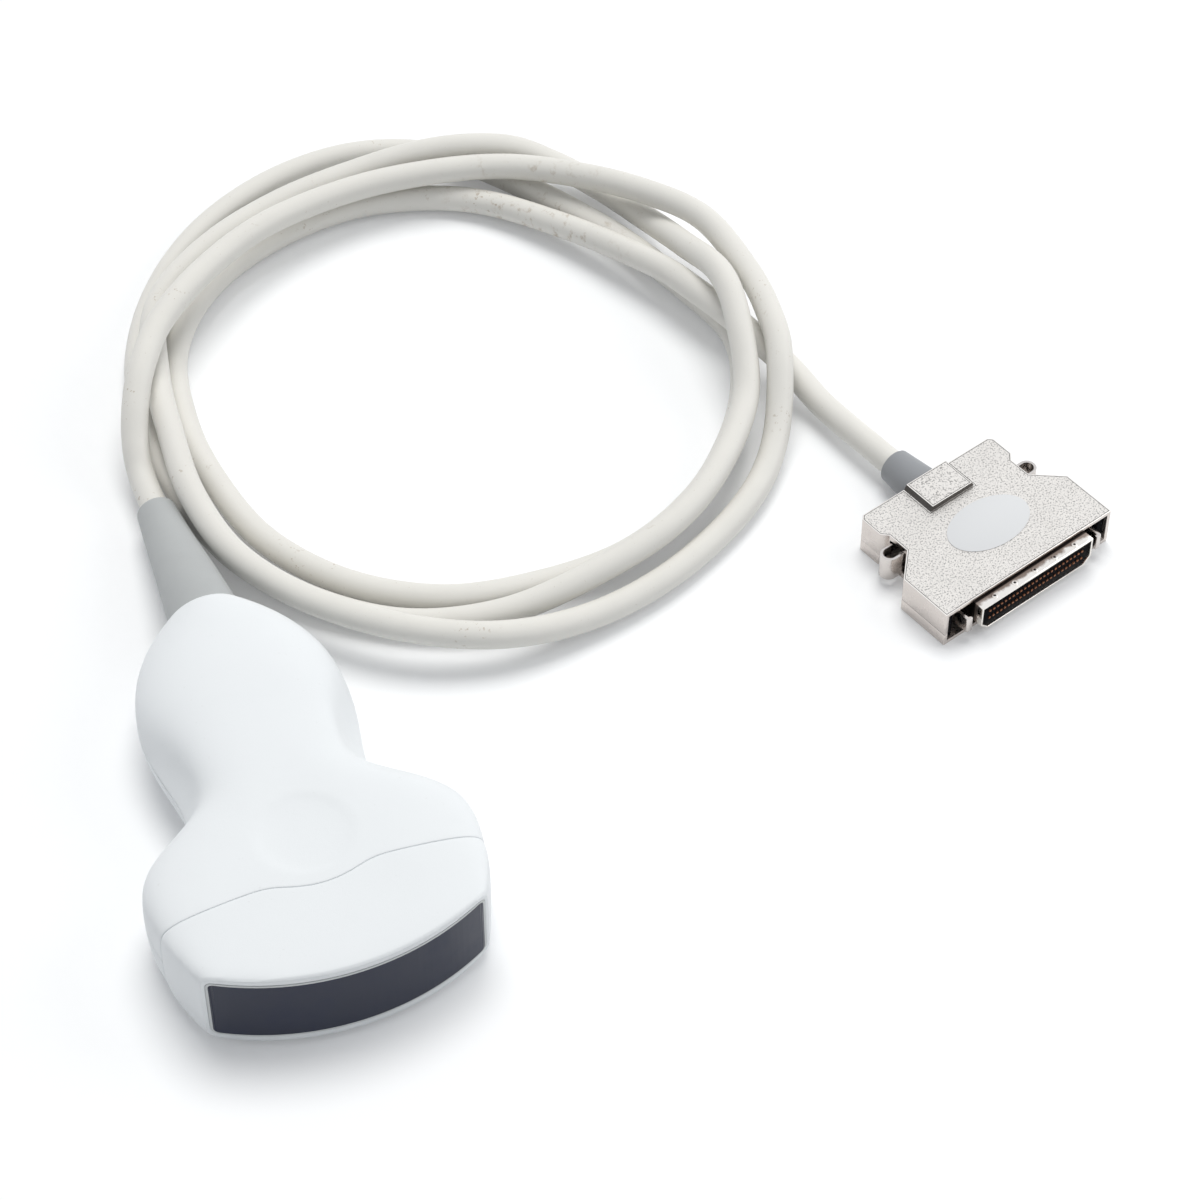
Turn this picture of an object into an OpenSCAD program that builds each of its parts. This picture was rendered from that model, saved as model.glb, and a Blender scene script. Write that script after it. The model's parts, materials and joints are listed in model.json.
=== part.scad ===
// Convex ultrasound probe with its cable and 50-way latching plug.
// The probe lies along Y with its lens towards -Y. The origin is under the middle of the probe,
// on the surface that it lies on. The plug has its own frame: u across, v towards its cable.

/* [Probe housing] */
// Length of the probe, from the lens to the tip of its boot
probe_len = 160; // [152:1:172]
// Length of the housing, from the lens to its back end
housing_len = 114.5; // [109:0.5:120]
// Length of the nose shell at its sides
nose_len = 24; // [21:0.5:27]
// Width of the nose at its front
nose_w = 66.8; // [66:0.2:70]
// Greatest width of the head
head_w = 77; // [74:0.5:84]
// Width of the waist, where the fingers lie
waist_w = 43; // [38:0.5:48]
// Width of the grip
grip_w = 50.2; // [46:0.2:56]
// Thickness of the nose at its front
nose_t = 23; // [22.5:0.1:25]
// Thickness of the head behind the nose
head_t = 25; // [24.5:0.1:27]
// Thickness of the grip
grip_t = 26; // [25.5:0.1:29]
// Depth of the finger scoops at the sides of the waist
scoop = 3.4; // [0:0.1:4]
// Wall of the plastic shells
wall = 2.2; // [1.6:0.1:2.8]
// Wall of the nose at its front
nose_wall = 1.2; // [0.9:0.1:1.4]

/* [Acoustic stack] */
// Radius of the lens's outer face
lens_r = 61; // [56:0.5:68]
// Width of the lens, along its chord
lens_w = 62.4; // [58:0.2:62.8]
// Height of the lens
lens_h = 17.4; // [14:0.2:18]
// Thickness of the lens
lens_t = 2; // [1:0.1:2.6]
// Width of the seal around the lens
seal_w = 0.5; // [0.3:0.1:0.8]
// Thickness of the matching layer
matching_t = 0.8; // [0.4:0.1:1.2]
// Thickness of the piezo elements
piezo_t = 0.7; // [0.4:0.1:1.2]
// Number of modelled piezo elements
piezo_count = 40; // [24:1:64]
// Thickness of the backing block
backing_t = 9; // [6:0.5:11]

/* [Strain relief boot] */
// Diameter of the boot at the housing
boot_d = 18; // [16:0.2:19]
// Diameter of the boot at its tip
boot_tip_d = 9.8; // [9:0.1:12]
// Height of the boot's tip centre above the table
boot_tip_z = 7; // [6.2:0.1:9]

/* [Cable] */
// Diameter of the cable's jacket
cable_d = 6.8; // [5:0.1:6.8]
// Diameter of the cable's core under the jacket
core_d = 5; // [3:0.1:5.6]

/* [Connector hood] */
// Width of the hood at its front
hood_w = 54.4; // [53:0.2:60]
// Depth of the hood, front to back
hood_depth = 37; // [36:0.5:42]
// Height of the hood
hood_h = 10.6; // [10.6:0.1:12]
// Wall of the metal hood
hood_wall = 1; // [0.8:0.1:1.2]
// Height of the seam between the hood's halves
hood_seam_z = 3.5; // [2.8:0.1:4]
// Width of the hood between its finger notches
neck_w = 40.4; // [39.6:0.2:42]
// Width of the hood at its back
back_w = 43.6; // [43:0.2:46]
// Length and width of the bare oval label
label_size = [23.8, 15]; // [10:0.2:30]

/* [Plug] */
// Width of the D-shaped shroud
shroud_w = 36.6; // [36:0.1:40]
// Height of the shroud
shroud_h = 8.2; // [7.8:0.1:8.4]
// How far the shroud stands out of the hood
shroud_out = 3.2; // [2.4:0.1:5]
// Distance between neighbouring contacts
contact_pitch = 1.27; // [1.2:0.01:1.3]
// Contacts in each row
contact_count = 25; // [13:1:25]

/* [Latches] */
// Height of the latch arms
latch_h = 4.4; // [3.6:0.1:5]
// Height of the thumb loops
loop_h = 7; // [6:0.1:7.4]
// Radius of the latch pins
pin_r = 1.2; // [0.9:0.1:1.4]
// Running clearance of the latches on their pins
pin_clear = 0.05; // [0.03:0.01:0.08]

/* [Hidden] */

// Round shapes use this many sides; lofted rings use ring_sides
$fn = 48;
ring_sides = 48;
// One overrun serves all cuts
over = 1;
// Small gap between pieces of one assembly
fit = 0.15;
// Seats that stay clear of a curved wall
seat_gap = 0.3;

// Stations of the housing, measured back from the lens
front_y = -probe_len / 2;
mid_z = grip_t / 2;
head_at = nose_len + 7 * nose_len / 24;
waist_at = housing_len * 0.511;
grip_at = housing_len * 0.716;
// Where the grip's rounded back would close if it had no opening
grip_end = grip_at + (housing_len - grip_at) * 1.096;
grip_thin_end = grip_at + (housing_len - grip_at) * 1.6;
opening_r = boot_d / 2 + fit;
// The parting line rises to each side of a dip over the middle
part_rise = nose_len * 0.09;
part_dip = nose_len * 0.05;
part_dip_w = head_w * 0.155;
nose_edge = 0.6;
scoop_len = housing_len * 0.2;
scoop_at = waist_at + scoop_len * 0.4;
// Squareness of the nose's inside
square_inside = 11;
window_w = lens_w + 2 * seal_w;
window_h = lens_h + 2 * seal_w;
lip_over = 0.6;
lip_t = lens_t + lip_over;
// Squareness of the outline at the nose, parting line, waist, grip and back end
square_nose = 11;
square_head = 6.5;
square_waist = 2.8;
square_grip = 2.5;

function smooth(t) = let (c = min(1, max(0, t))) c * c * (3 - 2 * c);
function mix(a, b, t) = a + (b - a) * t;
function flat(lists) = [for (l = lists) for (e = l) e];
// A point of a squared ellipse, at angle q, with more points where the outline turns
function squared(a, b, n, q) =
    let (h = q % 180, u = h <= 90 ? h / 90 : 2 - h / 90, w = 1 - u * u,
         over_top = q % 360 < 180 ? 1 : -1)
    [over_top * (h <= 90 ? 1 : -1) * a * w, over_top * b * pow(1 - pow(w, n), 1 / n)];

// Depth of the lens's arc at x, and the place of the parting line at x
function arc_y(x) = lens_r - sqrt(lens_r * lens_r - x * x);
function part_y(x) =
    let (a = abs(x))
    nose_len + (a < part_dip_w
        ? part_rise - (part_rise + part_dip) * (1 - pow(a / part_dip_w, 2))
        : part_rise * (1 - min(1, (a - part_dip_w) / (head_w / 2 - part_dip_w))));

// Half width, half thickness and squareness of the housing at station s. The head runs far back
// before it turns in to the waist.
waist_turn = 1.6;
nose_flare = 4.1;
part_half_w = nose_w / 2 + nose_flare;
function half_w(s) =
    s < head_at ? mix(part_half_w, head_w / 2, smooth((s - nose_len) / (head_at - nose_len)))
    : s < waist_at ? mix(head_w, waist_w, smooth(pow((s - head_at) / (waist_at - head_at),
                                                     waist_turn))) / 2
    : s < grip_at ? mix(waist_w, grip_w, smooth((s - waist_at) / (grip_at - waist_at))) / 2
    : grip_w / 2 * sqrt(1 - pow((s - grip_at) / (grip_end - grip_at), 2));
function half_t(s) =
    s < grip_at ? mix(head_t, grip_t, smooth((s - nose_len) / (grip_at - nose_len))) / 2
    : grip_t / 2 * sqrt(1 - pow((s - grip_at) / (grip_thin_end - grip_at), 2));
function square(s) =
    s < waist_at ? mix(square_head, square_waist, smooth((s - nose_len) / (waist_at - nose_len)))
    : s < grip_at ? mix(square_waist, square_grip, smooth((s - waist_at) / (grip_at - waist_at)))
    : mix(square_grip, 2, smooth((s - grip_at) / (housing_len - grip_at)));

// Stations of the handle's rings, as shares of the handle's length
handle_station_shares = [0, 0.04, 0.09, 0.15, 0.2, 0.25, 0.3, 0.35, 0.39, 0.46, 0.55, 0.65, 0.74,
                         0.82, 0.88, 0.93, 0.97, 1];
function handle_point(share, q, inset) =
    let (s = mix(nose_len, housing_len, share),
         a = max(half_w(s) - inset, inset > 0 ? opening_r : 0),
         b = max(half_t(s) - inset, inset > 0 ? opening_r : 0),
         p = squared(a, b, square(s), q),
         dent = p[1] > 0 ? scoop * sin(180 * p[1] / b) * pow(p[0] / a, 2)
                           * (1 - smooth(abs(s - scoop_at) / scoop_len)) : 0,
         wave = (part_y(p[0]) - nose_len) * (1 - smooth(share / 0.15)))
    [p[0] - sign(p[0]) * dent, front_y + s + wave, mid_z + p[1]];

// Faces of a closed loft: rings of m points, the last ring joined to the first if looped
function ring_quads(n, m, looped = false) =
    [for (i = [0 : n - (looped ? 1 : 2)]) for (j = [0 : m - 1])
        let (a = i * m + j, b = i * m + (j + 1) % m,
             c = ((i + 1) % n) * m + (j + 1) % m, d = ((i + 1) % n) * m + j)
        each [[a, b, c], [a, c, d]]];
// End faces of a loft whose rings hold an outer run and an inner run of h points each
function strip_ends(n, h) =
    let (m = 2 * h, last = (n - 1) * m)
    [for (i = [0 : h - 2]) each [
        [i, m - 1 - i, i + 1], [i + 1, m - 1 - i, m - 2 - i],
        [last + i, last + i + 1, last + m - 1 - i],
        [last + i + 1, last + m - 2 - i, last + m - 1 - i]]];
function round_ends(n, m) =
    [[for (j = [m - 1 : -1 : 0]) j], [for (j = [0 : m - 1]) (n - 1) * m + j]];

module handle_shell(start) {
    h = ring_sides / 2 + 1;
    step = 360 / ring_sides;
    rings = [for (share = handle_station_shares) concat(
        [for (i = [0 : h - 1]) handle_point(share, start + i * step, 0)],
        [for (i = [h - 1 : -1 : 0]) handle_point(share, start + i * step, wall)])];
    polyhedron(flat(rings), concat(ring_quads(len(rings), 2 * h), strip_ends(len(rings), h)));
}

module upper_handle_shell() {
    color([0.92, 0.94, 0.95]) handle_shell(0);
}

module lower_handle_shell() {
    color([0.92, 0.94, 0.95]) handle_shell(180);
}

// A ring of the nose at share t from its front face to the parting line
function nose_ring(t, inside = false, edge = 0) =
    let (inset = inside ? mix(nose_wall, wall, t) : edge,
         a = mix(nose_w / 2, part_half_w, sin(90 * t)) - inset,
         b = mix(nose_t, head_t, t) / 2 - inset,
         n = mix(inside ? square_inside : square_nose, square_head, t))
    [for (j = [0 : ring_sides - 1])
        let (p = squared(a, b, n, j * 360 / ring_sides))
        [p[0], front_y + mix(arc_y(p[0]), part_y(p[0]), t), mid_z + p[1]]];
function set_back(ring, depth) = [for (p = ring) [p[0], front_y + arc_y(p[0]) + depth, p[2]]];

// Point j of the outline of a lens or its window, a rectangle with round corners. Each quarter
// has a step up the side, the steps round its corner, and the rest along the top.
lens_corner = 1.2;
side_steps = 1;
corner_steps = 4;
quarter = ring_sides / 4;
function quarter_step(j) = let (i = j % (2 * quarter)) i <= quarter ? i : 2 * quarter - i;
function lens_point(w, h, r, j) =
    let (k = quarter_step(j),
         turn = 90 * min(1, max(0, (k - side_steps) / corner_steps)),
         x = k <= side_steps + corner_steps ? w / 2 - r + r * cos(turn)
             : (w / 2 - r) * (quarter - k) / (quarter - side_steps - corner_steps),
         z = k < side_steps ? 0 : h / 2 - r + r * sin(turn))
    [j < quarter || j > 3 * quarter ? x : -x, j < 2 * quarter ? z : -z];
window_ring = [for (j = [0 : ring_sides - 1])
    let (p = lens_point(window_w, window_h, lens_corner + seal_w, j)) [p[0], 0, mid_z + p[1]]];

nose_ring_shares = [1, 0.75, 0.5, 0.3, 0.14];

module nose_shell() {
    rings = concat(
        [for (t = nose_ring_shares) nose_ring(t)],
        [set_back(nose_ring(0, edge = nose_edge / 4), nose_edge),
         set_back(nose_ring(0, edge = nose_edge), 0),
         set_back(window_ring, 0), set_back(window_ring, lip_t),
         set_back(nose_ring(0, true), lip_t)],
        [for (i = [len(nose_ring_shares) - 2 : -1 : 0]) nose_ring(nose_ring_shares[i], true)]);
    color([0.92, 0.94, 0.95])
        polyhedron(flat(rings), ring_quads(len(rings), ring_sides, true));
}

// A layer of the acoustic stack: part of a ring about the lens's centre
module arc_ring(outer_r, t, h) {
    translate([0, front_y + lens_r, mid_z - h]) difference() {
        cylinder(r = outer_r, h = 2 * h);
        translate([0, 0, -over]) cylinder(r = outer_r - t, h = 2 * (h + over));
    }
}
module arc_layer(outer_r, t, w, h) {
    intersection() {
        arc_ring(outer_r, t, h);
        translate([-w / 2, front_y - over, mid_z - h / 2]) cube([w, lens_r / 2, h]);
    }
}
// The lens and its window have rounded corners
module lens_block(w, h, r) {
    translate([0, front_y + lens_r / 2, mid_z]) rotate([90, 0, 0])
        linear_extrude(lens_r) polygon([for (j = [0 : ring_sides - 1])
            if (quarter_step(j) >= side_steps && quarter_step(j) <= side_steps + corner_steps)
                lens_point(w, h, r, j)]);
}

stack_w = lens_w - 2 * seal_w;
stack_h = lens_h - 2 * seal_w;
matching_r = lens_r - lens_t;
piezo_r = matching_r - matching_t;
backing_r = piezo_r - piezo_t;
carrier_r = backing_r - backing_t;

module acoustic_lens() {
    color([0.21, 0.23, 0.28]) intersection() {
        arc_ring(lens_r, lens_t, lens_h);
        lens_block(lens_w, lens_h, lens_corner);
    }
}

module lens_seal() {
    color([0.80, 0.82, 0.82]) intersection() {
        arc_ring(lens_r, lens_t, lens_h);
        difference() {
            lens_block(window_w, window_h, lens_corner + seal_w);
            translate([0, over, 0]) lens_block(lens_w, lens_h, lens_corner);
            translate([0, -over, 0]) lens_block(lens_w, lens_h, lens_corner);
        }
    }
}

module matching_layer() {
    color([0.55, 0.50, 0.42]) arc_layer(matching_r, matching_t, stack_w, stack_h);
}

element_gap = 0.12;
module piezo_elements() {
    half_angle = asin(stack_w / 2 / piezo_r);
    step = 2 * half_angle / piezo_count;
    element_w = piezo_r * step * PI / 180 - element_gap;
    color([0.75, 0.68, 0.45])
        for (i = [0 : piezo_count - 1])
            translate([0, front_y + lens_r, mid_z])
                rotate([0, 0, -half_angle + (i + 0.5) * step])
                    translate([-element_w / 2, -piezo_r + fit / 10, -stack_h / 2])
                        cube([element_w, piezo_t - fit / 5, stack_h]);
}

module backing_block() {
    color([0.25, 0.25, 0.27]) arc_layer(backing_r, backing_t, stack_w, stack_h);
}

// The carrier holds the stack by its back and stands off the shells' walls
carrier_end = nose_len + wall;
carrier_pad_share = 0.5;
carrier_pad_w = lens_w * carrier_pad_share;
carrier_h = nose_t - 2 * nose_wall - 2 * seat_gap;
flex_t = 0.3;
flex_slot = flex_t + 2 * fit;
module array_carrier() {
    color([0.30, 0.31, 0.33]) difference() {
        intersection() {
            union() {
                translate([-stack_w / 2, front_y, mid_z - stack_h / 2])
                    cube([stack_w, carrier_end, stack_h]);
                translate([-carrier_pad_w / 2, front_y, mid_z - carrier_h / 2])
                    cube([carrier_pad_w, carrier_end, carrier_h]);
            }
            translate([0, front_y + lens_r, mid_z - carrier_h])
                cylinder(r = carrier_r, h = 2 * carrier_h);
        }
        for (side = [-1, 1])
            translate([-flex_w / 2 - fit, front_y, mid_z + side * flex_z - flex_slot / 2])
                cube([flex_w + 2 * fit, carrier_end + over, flex_slot]);
    }
}

// The cable inside the handle, placed from the housing's back end: its jacket starts in the boot,
// a ferrule and a clamp hold it, and its cores run on to the board
boot_hold = 10;
boot_in = housing_len - boot_hold;
ferrule_len = 9;
ferrule_gap = 4;
ferrule_at = boot_in - ferrule_gap - ferrule_len;
clamp_inset = 1.5;
clamp_at = ferrule_at + clamp_inset;
clamp_len = 6;
bundle_gap = 10.8;
bundle_at = ferrule_at - bundle_gap;

// The board lies between the array's carrier and the cable's cores. Two flexible circuits run
// from the stack to its sockets.
flex_inset = 2;
flex_z = stack_h / 2 - flex_inset;
flex_run = 12;
board_y = carrier_end + flex_run;
board_side_gap = 1.7;
board_w = waist_w - 2 * (wall + scoop + board_side_gap);
board_len = bundle_at - board_y;
board_t = 1.6;
socket_len = 5;
socket_h = 3.4;
flex_w = board_w - 2 * flex_t;
module flex(side) {
    from = lens_r - carrier_r - over;
    bend_y = carrier_end + fit;
    socket_z = board_t / 2 + socket_h / 2;
    color([0.78, 0.50, 0.18]) intersection() {
        translate([-flex_w / 2, front_y, mid_z]) rotate([90, 0, 90]) linear_extrude(flex_w)
            polygon([[from, side * (flex_z - flex_t / 2)], [bend_y, side * (flex_z - flex_t / 2)],
                     [board_y - flex_t, side * (socket_z - flex_t / 2)],
                     [board_y, side * (socket_z - flex_t / 2)],
                     [board_y, side * (socket_z + flex_t / 2)],
                     [board_y - flex_t, side * (socket_z + flex_t / 2)],
                     [bend_y, side * (flex_z + flex_t / 2)], [from, side * (flex_z + flex_t / 2)]]);
        translate([0, front_y + lens_r, mid_z - carrier_h]) cylinder(r = carrier_r, h = 2 * carrier_h);
    }
}

module upper_flex() {
    flex(1);
}

module lower_flex() {
    flex(-1);
}

module interconnect_board() {
    color([0.10, 0.38, 0.22])
        translate([-board_w / 2, front_y + board_y, mid_z - board_t / 2])
            cube([board_w, board_len, board_t]);
}

module board_sockets() {
    color([0.90, 0.88, 0.80])
        for (side = [-1, 1], end = [0, 1])
            translate([-board_w / 2 + seat_gap,
                       front_y + board_y + end * (board_len - socket_len),
                       mid_z + (side > 0 ? board_t / 2 : -board_t / 2 - socket_h)])
                cube([board_w - 2 * seat_gap, socket_len, socket_h]);
}

// Ribs that reach from the board to the shells hold the board
cradle_t = 2.4;
cradle_shares = [0.3, 0.6];
module inside_profile(s) {
    inset = wall + seat_gap;
    polygon([for (j = [0 : ring_sides - 1])
        squared(half_w(s) - inset - scoop, half_t(s) - inset, square(s), j * 360 / ring_sides)]);
}
module board_cradle() {
    color([0.30, 0.31, 0.33])
        for (share = cradle_shares)
            let (s = board_y + board_len * share)
            difference() {
                translate([0, front_y + s, mid_z]) rotate([90, 0, 0])
                    linear_extrude(cradle_t) difference() {
                        inside_profile(s);
                        square([board_w - 2 * cradle_t, head_t - 2 * wall - 2 * cradle_t],
                               center = true);
                    }
                translate([-board_w / 2, front_y + board_y - over, mid_z - board_t / 2])
                    cube([board_w, board_len + 2 * over, board_t]);
            }
}

clamp_w = 22;
screw_r = 1.2;
screw_head_r = 2.2;
screw_head_t = 1.4;
screw_x = clamp_w / 2 - screw_head_r - 2 * fit;
screw_len = cable_d + 2 * screw_head_t + wall;
module coax_bundle() {
    color([0.70, 0.70, 0.72]) translate([0, front_y + boot_in, mid_z]) rotate([90, 0, 0])
        cylinder(d = core_d, h = boot_in - bundle_at);
}

module shield_ferrule() {
    color([0.72, 0.73, 0.75]) difference() {
        translate([0, front_y + ferrule_at + ferrule_len, mid_z]) rotate([90, 0, 0])
            cylinder(d = cable_d, h = ferrule_len);
        translate([0, front_y + ferrule_at + ferrule_len + over, mid_z]) rotate([90, 0, 0])
            cylinder(d = core_d, h = ferrule_len + 2 * over);
    }
}

module cable_clamp() {
    color([0.66, 0.67, 0.69]) difference() {
        translate([0, front_y + clamp_at + clamp_len, mid_z]) rotate([90, 0, 0])
            linear_extrude(clamp_len) difference() {
                intersection() {
                    inside_profile(clamp_at + clamp_len);
                    square([clamp_w, grip_t], center = true);
                }
                circle(d = cable_d);
            }
        clamp_screw_places() {
            translate([0, 0, -grip_t / 2]) cylinder(r = screw_r + pin_clear, h = grip_t);
            translate([0, 0, screw_len / 2 - screw_head_t])
                cylinder(r = screw_head_r + fit, h = grip_t);
        }
    }
}
module clamp_screw_places() {
    for (side = [-1, 1])
        translate([side * screw_x, front_y + clamp_at + clamp_len / 2, mid_z]) children();
}

// Small screws and springs inside the part have this many sides
small_sides = 12;
module clamp_screws() {
    color([0.62, 0.63, 0.65]) clamp_screw_places() {
        translate([0, 0, -screw_len / 2])
            cylinder(r = screw_r, h = screw_len - screw_head_t, $fn = small_sides);
        translate([0, 0, screw_len / 2 - screw_head_t])
            cylinder(r = screw_head_r, h = screw_head_t, $fn = small_sides);
    }
}

// A round loft along Y through rings of [place along Y, radius, height]
boot_sides = 24;
module round_loft(stations) {
    rings = [for (p = stations) [for (j = [0 : boot_sides - 1])
        [p[1] * cos(j * 360 / boot_sides), p[0], p[2] + p[1] * sin(j * 360 / boot_sides)]]];
    polyhedron(flat(rings), concat(ring_quads(len(rings), boot_sides),
                                   round_ends(len(rings), boot_sides)));
}

// The boot leaves the housing level and droops to its tip
boot_ring_shares = [0, 0.06, 0.16, 0.18, 0.3, 0.45, 0.6, 0.75, 0.88, 0.96, 0.99, 1];
boot_tip_edge_share = 0.9;
module strain_relief_boot() {
    boot_len = probe_len - boot_in;
    color([0.73, 0.74, 0.75]) round_loft([for (share = boot_ring_shares)
        let (s = boot_in + share * boot_len,
             along = max(0, (s - housing_len) / (probe_len - housing_len)),
             edge = share == 1 ? boot_tip_edge_share : 1)
        [front_y + s, mix(boot_d, boot_tip_d, along) / 2 * edge,
         mix(mid_z, boot_tip_z, smooth(along))]]);
}

// The plug lies on the same surface, turned about Z
plug_x = 190.5;
plug_y = -15.5;
plug_turn = 18;
module at_plug() {
    translate([plug_x, plug_y, 0]) rotate([0, 0, plug_turn]) children();
}
function plug_point(u, v, z) =
    [plug_x + u * cos(plug_turn) - v * sin(plug_turn),
     plug_y + u * sin(plug_turn) + v * cos(plug_turn), z];

// Plan of the hood: full width, chamfer, finger notch, flare and back
side_len_share = 0.41;
notch_from_share = 0.585;
notch_to_share = 0.75;
flare_to_share = 0.80;
corner_share = 0.03;
cable_z = 5.7;
function hood_outline(inset) =
    let (w = hood_w / 2 - inset, n = neck_w / 2 - inset, b = back_w / 2 - inset,
         d = hood_depth, c = d * corner_share,
         half = [[w, 0], [w, d * side_len_share - inset / 2],
                 [n, d * notch_from_share - inset / 2], [n, d * notch_to_share + inset / 2],
                 [b, d * flare_to_share + inset / 2], [b, d - c - inset], [b - c, d - inset]])
    concat(half, [for (i = [len(half) - 1 : -1 : 0]) [-half[i][0], half[i][1]]]);

loop_slot_clear = 0.5;
loop_side_gap = 0.7;
loop_v = hood_depth * (notch_from_share + notch_to_share) / 2;
loop_len = hood_depth * (notch_to_share - notch_from_share) - 2 * loop_side_gap;
mid_h = hood_h / 2;
boot_base_r = cable_z - seat_gap / 3;
module hood_cavity() {
    translate([0, 0, hood_wall]) linear_extrude(hood_h - 2 * hood_wall)
        difference() {
            polygon(hood_outline(hood_wall));
            translate([-hood_w, -over]) square([2 * hood_w, over]);
        }
    // The mouth at the front, for the shroud and the latches
    translate([-hood_w / 2 + hood_wall, -over, hood_wall])
        cube([hood_w - 2 * hood_wall, hood_depth / 4, hood_h - 2 * hood_wall]);
    // The cable's way in
    translate([0, hood_depth + over, cable_z]) rotate([90, 0, 0])
        cylinder(d = cable_d + 2 * fit, h = 2 * over + 2 * hood_wall);
    // Slots for the thumb loops
    translate([-hood_w / 2, loop_v - loop_len / 2 - loop_slot_clear, mid_h - loop_h / 2 - fit])
        cube([hood_w, loop_len + 2 * loop_slot_clear, loop_h + 2 * fit]);
}

boss_w = 14.4;
boss_len = 9.6;
boss_h = 1.4;
// Two screws near the cable, in columns inside the hood, hold the halves together
column_r = 2.4;
column_at = [back_w / 2 - column_r - 2 * hood_wall, hood_depth - column_r - 2 * hood_wall];
hood_screw_r = 0.9;
hood_screw_head_r = 1.6;
hood_screw_head_t = 1;
module column_places() {
    for (side = [-1, 1]) translate([side * column_at[0], column_at[1], 0]) children();
}
module hood_upper() {
    color([0.78, 0.75, 0.72]) at_plug() difference() {
        union() {
            difference() {
                translate([0, 0, hood_seam_z]) linear_extrude(hood_h - hood_seam_z)
                    polygon(hood_outline(0));
                hood_cavity();
            }
            translate([0, hood_depth, hood_h - hood_wall / 2]) rotate([90, 0, 0])
                linear_extrude(boss_len)
                    polygon([[-boss_w / 2, 0], [boss_w / 2, 0], [boss_w / 2, hood_wall / 2],
                             [boss_w / 2 - boss_h / 2, hood_wall / 2 + boss_h],
                             [boss_h / 2 - boss_w / 2, hood_wall / 2 + boss_h],
                             [-boss_w / 2, hood_wall / 2]]);
            column_places() translate([0, 0, hood_seam_z])
                cylinder(r = column_r, h = hood_h - hood_seam_z - hood_wall / 2);
        }
        column_places() cylinder(r = hood_screw_r + pin_clear, h = hood_h - hood_wall);
    }
}

module hood_lower() {
    color([0.72, 0.69, 0.67]) at_plug() difference() {
        union() {
            difference() {
                linear_extrude(hood_seam_z) polygon(hood_outline(0));
                hood_cavity();
            }
            column_places() translate([0, 0, hood_wall / 2])
                cylinder(r = column_r, h = hood_seam_z - hood_wall / 2);
        }
        column_places() {
            translate([0, 0, -over]) cylinder(r = hood_screw_r + pin_clear, h = hood_h);
            translate([0, 0, -over])
                cylinder(r = hood_screw_head_r + fit, h = over + fit + hood_screw_head_t);
        }
    }
}

module hood_screws() {
    color([0.60, 0.60, 0.62]) at_plug() column_places() translate([0, 0, fit]) {
        cylinder(r = hood_screw_head_r, h = hood_screw_head_t, $fn = small_sides);
        cylinder(r = hood_screw_r, h = hood_h - 2 * hood_wall - fit, $fn = small_sides);
    }
}

label_at = [1.2, 15.8];
label_t = 0.15;
module bare_label() {
    color([0.93, 0.93, 0.94]) at_plug()
        translate([label_at[0], label_at[1], hood_h])
            linear_extrude(label_t)
                polygon([for (i = [0 : ring_sides - 1])
                    [label_size[0] / 2 * cos(i * 360 / ring_sides),
                     label_size[1] / 2 * sin(i * 360 / ring_sides)]]);
}

plug_boot_len = 11.5;
plug_boot_tip_r = 4.5;
plug_boot_edge = 0.6;
module connector_boot() {
    back = hood_depth + plug_boot_len;
    color([0.60, 0.61, 0.62]) at_plug() round_loft([
        [hood_depth, boot_base_r, cable_z],
        [back - plug_boot_edge, plug_boot_tip_r, cable_z],
        [back, plug_boot_tip_r - plug_boot_edge, cable_z]]);
}

plug_ferrule_len = 5;
module plug_ferrule() {
    color([0.72, 0.73, 0.75]) at_plug()
        translate([0, hood_depth, cable_z]) rotate([90, 0, 0])
            difference() {
                cylinder(d = cable_d, h = hood_wall + plug_ferrule_len);
                translate([0, 0, hood_wall + over])
                    cylinder(d = cable_d - 2 * hood_wall, h = plug_ferrule_len);
            }
}

// A saddle presses the ferrule into the lower shell
saddle_w = 20;
saddle_len = 4;
saddle_t = 1;
saddle_foot = 3;
saddle_inset = 0.4;
saddle_v = hood_depth - hood_wall - plug_ferrule_len + saddle_inset;
module cable_saddle() {
    top = hood_h - 2 * hood_wall - fit;
    color([0.66, 0.67, 0.69]) at_plug()
        translate([0, saddle_v + saddle_len, 0]) rotate([90, 0, 0])
            linear_extrude(saddle_len) difference() {
                translate([-saddle_w / 2, hood_wall]) square([saddle_w, top]);
                translate([0, cable_z]) circle(d = cable_d + 2 * fit / 3);
                for (side = [-1, 1])
                    translate([side * (cable_d / 2 + saddle_t + saddle_w / 2),
                               hood_wall + saddle_t + hood_h / 2])
                        square([saddle_w, hood_h], center = true);
            }
}

module saddle_screws() {
    foot_x = saddle_w / 2 - saddle_foot / 2 - fit;
    color([0.60, 0.60, 0.62]) at_plug()
        for (side = [-1, 1])
            translate([side * foot_x, saddle_v + saddle_len / 2, hood_wall + saddle_t])
                cylinder(r = saddle_foot / 2, h = saddle_t);
}

// Front outline of the D-shaped shroud: its lower corners are cut off
shroud_t = 0.5;
shroud_cut = 2.2;
shroud_in = 4;
module d_outline(inset) {
    w = shroud_w / 2 - inset;
    h = shroud_h / 2 - inset;
    c = shroud_cut - inset / 2;
    polygon([[-w, h], [w, h], [w, c - h], [w - c, -h], [c - w, -h], [-w, c - h]]);
}
module shroud_block(inset, from, to) {
    translate([0, to, mid_h]) rotate([90, 0, 0]) linear_extrude(to - from) d_outline(inset);
}

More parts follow.
